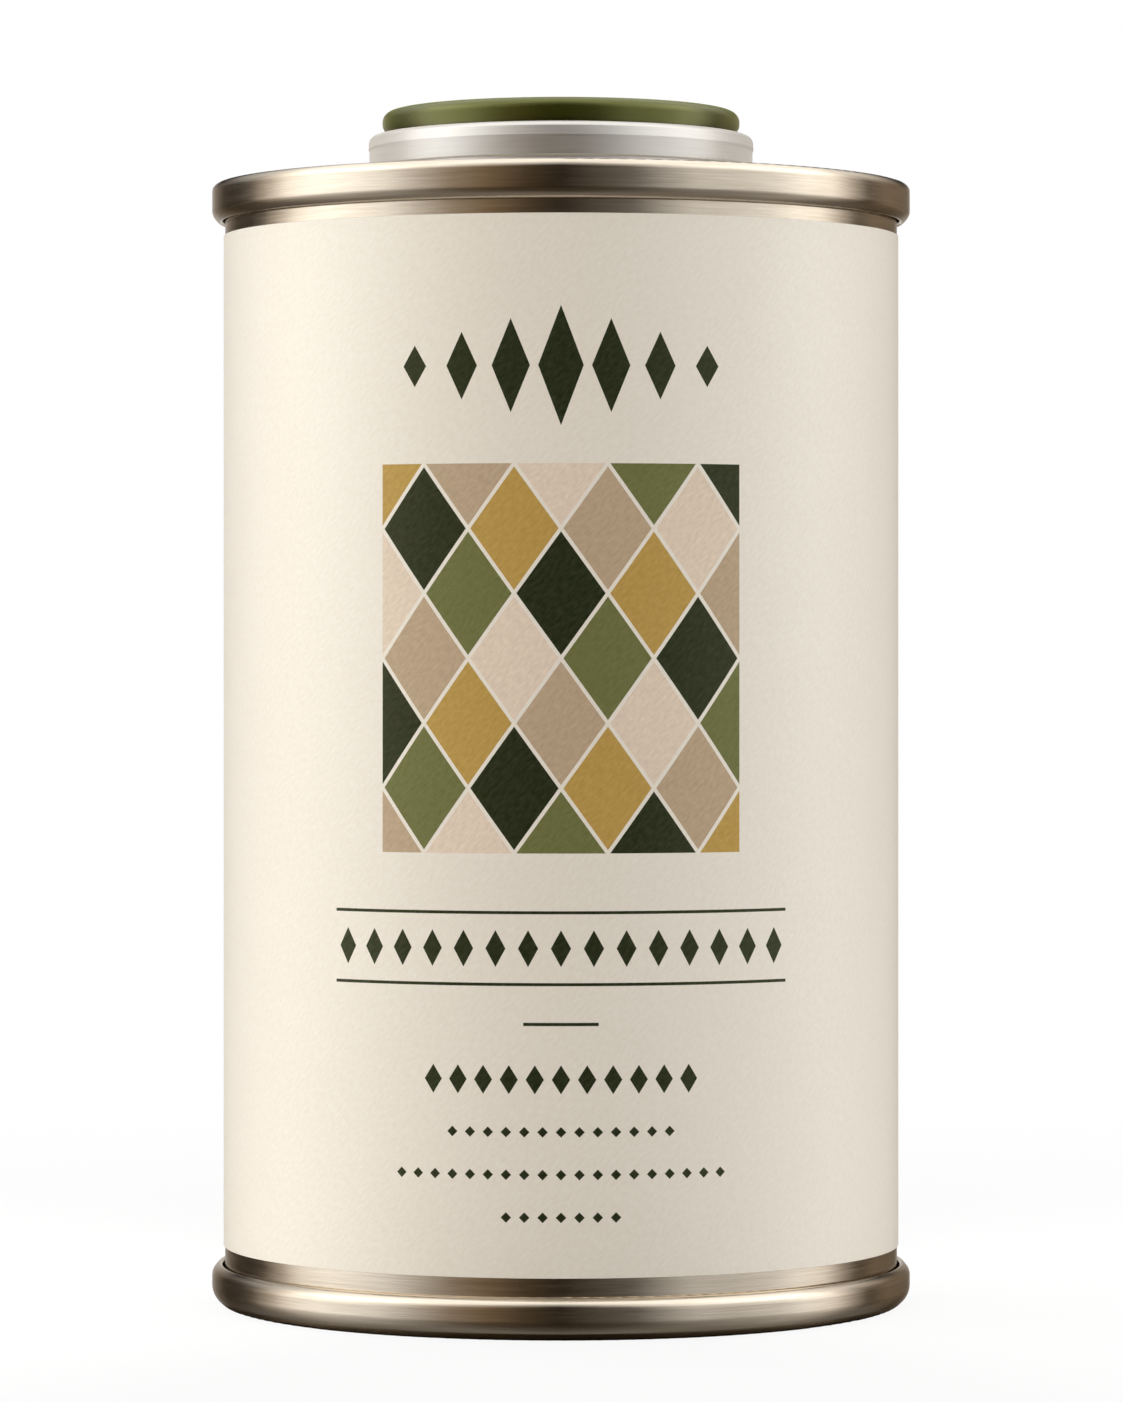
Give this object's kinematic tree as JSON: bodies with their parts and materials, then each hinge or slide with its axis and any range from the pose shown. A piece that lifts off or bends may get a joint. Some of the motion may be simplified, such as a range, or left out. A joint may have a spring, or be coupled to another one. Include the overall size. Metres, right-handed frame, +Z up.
{
  "type": "olive oil tin",
  "caption": "Round double-seamed oil tin with a wrap label and a crimped closure: a press-on cap over a pull-up pouring spout with a tear-out seal.",
  "frame": {"origin": "centre of the base, on the surface that the tin stands on", "axes": "+Z up along the tin's axis, -Y towards the front of the label"},
  "size_m": [0.0762, 0.0762, 0.1299],
  "materials": {
    "tinplate": "brushed, champagne lacquer",
    "seam_compound": "matt",
    "label_paper": "felt-marked uncoated",
    "gasket_rubber": "matt",
    "collar_aluminium": "satin",
    "natural_plastic": "satin, translucent white",
    "cap_plastic": "satin",
    "liner_foam": "foamed"
  },
  "bodies": {
    "tin": {"tin_body": "tinplate", "top_end": "tinplate", "bottom_end": "tinplate", "top_seam_compound": "seam_compound", "bottom_seam_compound": "seam_compound", "label": "label_paper", "neck_gasket": "gasket_rubber", "crimp_collar": "collar_aluminium", "spout_base": "natural_plastic"},
    "spout": {"pour_spout": "natural_plastic"},
    "seal": {"tear_out_seal": "natural_plastic"},
    "cap": {"cap": "cap_plastic", "cap_liner": "liner_foam"}
  },
  "joints": [
    {"name": "spout_pull", "type": "slide", "parent": "tin", "child": "spout", "axis": [0, 0, 1], "range_m": [0, 0.0178]},
    {"name": "seal_pull", "type": "slide", "parent": "spout", "child": "seal", "axis": [0, 0, 1], "range_m": [0, 0.03]},
    {"name": "cap_lift", "type": "slide", "parent": "seal", "child": "cap", "axis": [0, 0, 1], "range_m": [0, 0.035]}
  ]
}
